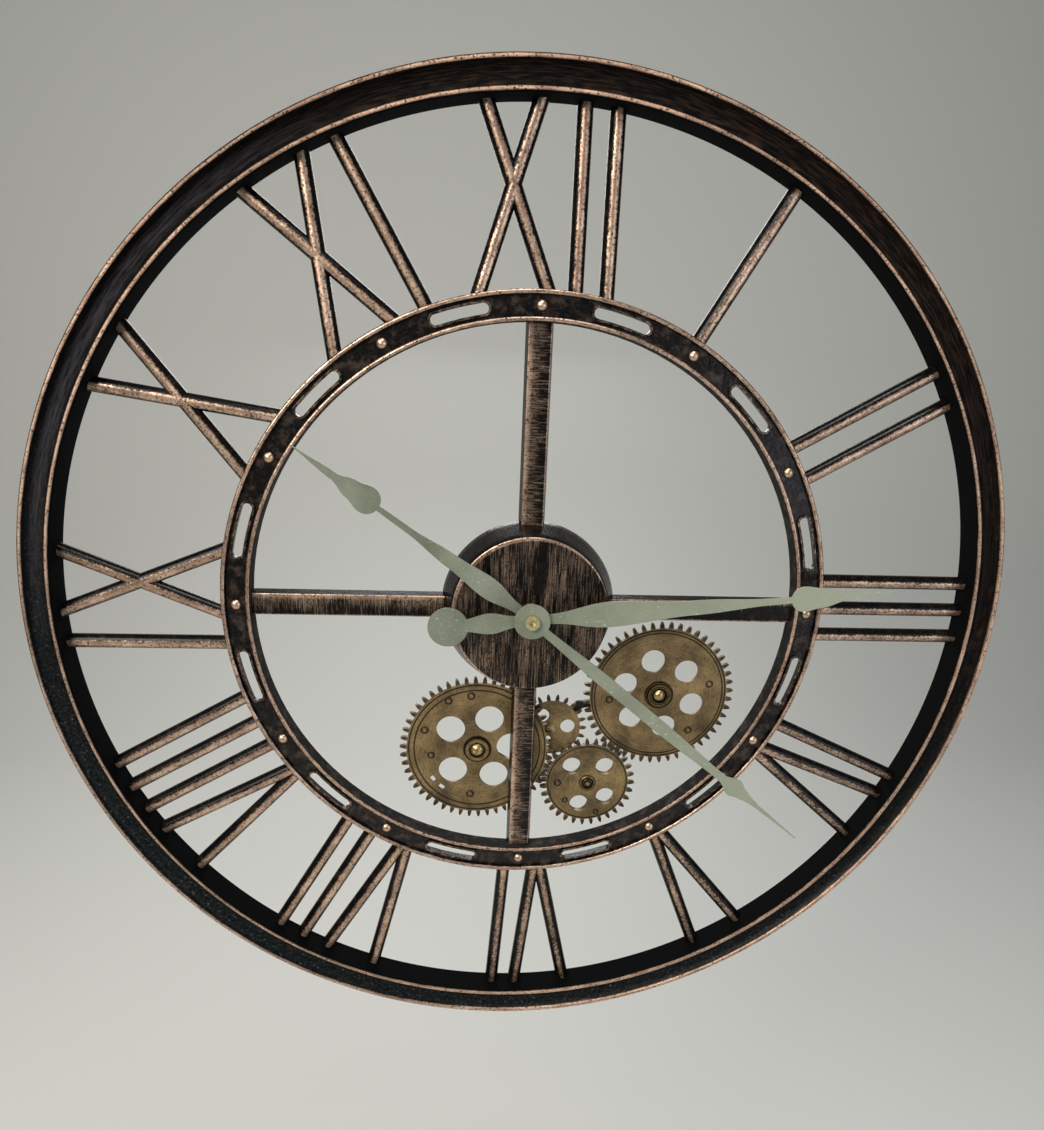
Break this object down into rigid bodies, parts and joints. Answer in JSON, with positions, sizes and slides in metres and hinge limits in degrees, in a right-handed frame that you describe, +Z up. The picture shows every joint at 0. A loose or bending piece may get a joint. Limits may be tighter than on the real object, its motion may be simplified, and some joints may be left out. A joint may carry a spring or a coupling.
{
  "type": "skeleton wall clock",
  "caption": "Round openwork wall clock with Roman numerals of rod, sage leaf hands, a drum hub with a quartz movement and an open train of brass gears.",
  "frame": {"origin": "centre of the round entry of the keyhole that the clock hangs by, on the wall plane, 38 mm above the dial's axis", "axes": "+X to the viewer's right, +Z up, +Y into the wall, so the dial faces -Y"},
  "size_m": [0.6029, 0.0493, 0.603],
  "materials": {
    "antique_iron": "near-black paint, dry-brushed with copper",
    "rubbed_copper": "bright rubbed copper",
    "aged_brass": "dull antique brass with dark recesses",
    "aged_boss": "turned antique brass",
    "bright_brass": "clean brass",
    "sage_paint": "matte sage-green paint, lightly scuffed",
    "black_plastic": "fine matte moulding",
    "steel": "plain zinc-grey sheet",
    "battery_label": "plain printed sleeve",
    "board": "solder mask",
    "copper_wire": "enamelled wire",
    "rubber": "soft black"
  },
  "bodies": {
    "frame": {"outer_rim": "antique_iron", "inner_ring": "antique_iron", "ring_rivets": "rubbed_copper", "numeral_1": "antique_iron", "numeral_2": "antique_iron", "numeral_3": "antique_iron", "numeral_4": "antique_iron", "numeral_5": "antique_iron", "numeral_6": "antique_iron", "numeral_7": "antique_iron", "numeral_8": "antique_iron", "numeral_9": "antique_iron", "numeral_10": "antique_iron", "numeral_11": "antique_iron", "numeral_12": "antique_iron", "spoke_12": "antique_iron", "spoke_3": "antique_iron", "spoke_6": "antique_iron", "spoke_9": "antique_iron", "hub_drum": "antique_iron", "hanger": "steel", "movement_case": "black_plastic", "movement_cover": "black_plastic", "battery": "battery_label", "contact_plus": "steel", "contact_minus": "steel", "circuit_board": "board", "quartz_can": "steel", "motor_coil": "copper_wire", "motor_stator": "steel", "train_plate": "black_plastic", "bush": "bright_brass", "case_pad": "rubber", "dial_washer": "bright_brass", "dial_nut": "bright_brass", "gear_bridge": "antique_iron", "gear_posts": "steel", "post_screws": "aged_boss"},
    "seconds": {"second_wheel": "bright_brass", "second_hand": "sage_paint", "hand_collet": "bright_brass"},
    "minutes": {"centre_wheel": "bright_brass", "minute_hand": "sage_paint"},
    "hours": {"hour_wheel": "bright_brass", "hour_hand": "sage_paint"},
    "third": {"third_wheel": "bright_brass"},
    "motion": {"motion_wheel": "bright_brass"},
    "step": {"step_wheel": "bright_brass"},
    "rotor_unit": {"rotor": "steel"},
    "setter": {"setting_knob": "black_plastic"},
    "left_train": {"gear_left": "aged_brass", "boss_left": "aged_boss"},
    "small_train": {"gear_small": "aged_brass", "gear_pinion": "aged_brass", "boss_small": "aged_boss"},
    "right_train": {"gear_right": "aged_brass", "boss_right": "aged_boss"},
    "rear_train": {"gear_rear": "aged_brass"}
  },
  "joints": [
    {"name": "second_turn", "type": "hinge", "parent": "frame", "child": "seconds", "pos_m": [0, 0, -0.038], "axis": [0, 1, 0], "continuous": true},
    {"name": "minute_turn", "type": "hinge", "parent": "frame", "child": "minutes", "pos_m": [0, 0, -0.038], "axis": [0, 1, 0], "continuous": true},
    {"name": "hour_turn", "type": "hinge", "parent": "frame", "child": "hours", "pos_m": [0, 0, -0.038], "axis": [0, 1, 0], "continuous": true},
    {"name": "third_turn", "type": "hinge", "parent": "frame", "child": "third", "pos_m": [0, 0, -0.02712], "axis": [0, 1, 0], "continuous": true},
    {"name": "motion_turn", "type": "hinge", "parent": "frame", "child": "motion", "pos_m": [-0.0108, 0, -0.038], "axis": [0, 1, 0], "continuous": true},
    {"name": "step_turn", "type": "hinge", "parent": "frame", "child": "step", "pos_m": [0.00812, 0, -0.03504], "axis": [0, 1, 0], "continuous": true},
    {"name": "rotor_turn", "type": "hinge", "parent": "frame", "child": "rotor_unit", "pos_m": [0.01623, 0, -0.03722], "axis": [0, 1, 0], "continuous": true},
    {"name": "setting_turn", "type": "hinge", "parent": "frame", "child": "setter", "pos_m": [-0.01597, 0, -0.02904], "axis": [0, 1, 0], "continuous": true},
    {"name": "left_gear_turn", "type": "hinge", "parent": "frame", "child": "left_train", "pos_m": [-0.03007, 0, -0.14046], "axis": [0, 1, 0], "continuous": true},
    {"name": "small_gear_turn", "type": "hinge", "parent": "frame", "child": "small_train", "pos_m": [0.0467, 0, -0.1663], "axis": [0, 1, 0], "continuous": true},
    {"name": "right_gear_turn", "type": "hinge", "parent": "frame", "child": "right_train", "pos_m": [0.0912, 0, -0.09982], "axis": [0, 1, 0], "continuous": true},
    {"name": "rear_gear_turn", "type": "hinge", "parent": "frame", "child": "rear_train", "pos_m": [0.0202, 0, -0.12627], "axis": [0, 1, 0], "continuous": true}
  ],
  "couplings": [
    {"joint": "minute_turn", "follows": "second_turn", "ratio": 0.016667},
    {"joint": "hour_turn", "follows": "second_turn", "ratio": 0.0013889},
    {"joint": "third_turn", "follows": "second_turn", "ratio": -0.13333},
    {"joint": "motion_turn", "follows": "second_turn", "ratio": -0.0055556},
    {"joint": "step_turn", "follows": "second_turn", "ratio": -5},
    {"joint": "rotor_turn", "follows": "second_turn", "ratio": 30},
    {"joint": "setting_turn", "follows": "second_turn", "ratio": 0.02},
    {"joint": "small_gear_turn", "follows": "left_gear_turn", "ratio": -1.6129},
    {"joint": "right_gear_turn", "follows": "left_gear_turn", "ratio": 1.0204},
    {"joint": "rear_gear_turn", "follows": "left_gear_turn", "ratio": 1.9062}
  ]
}
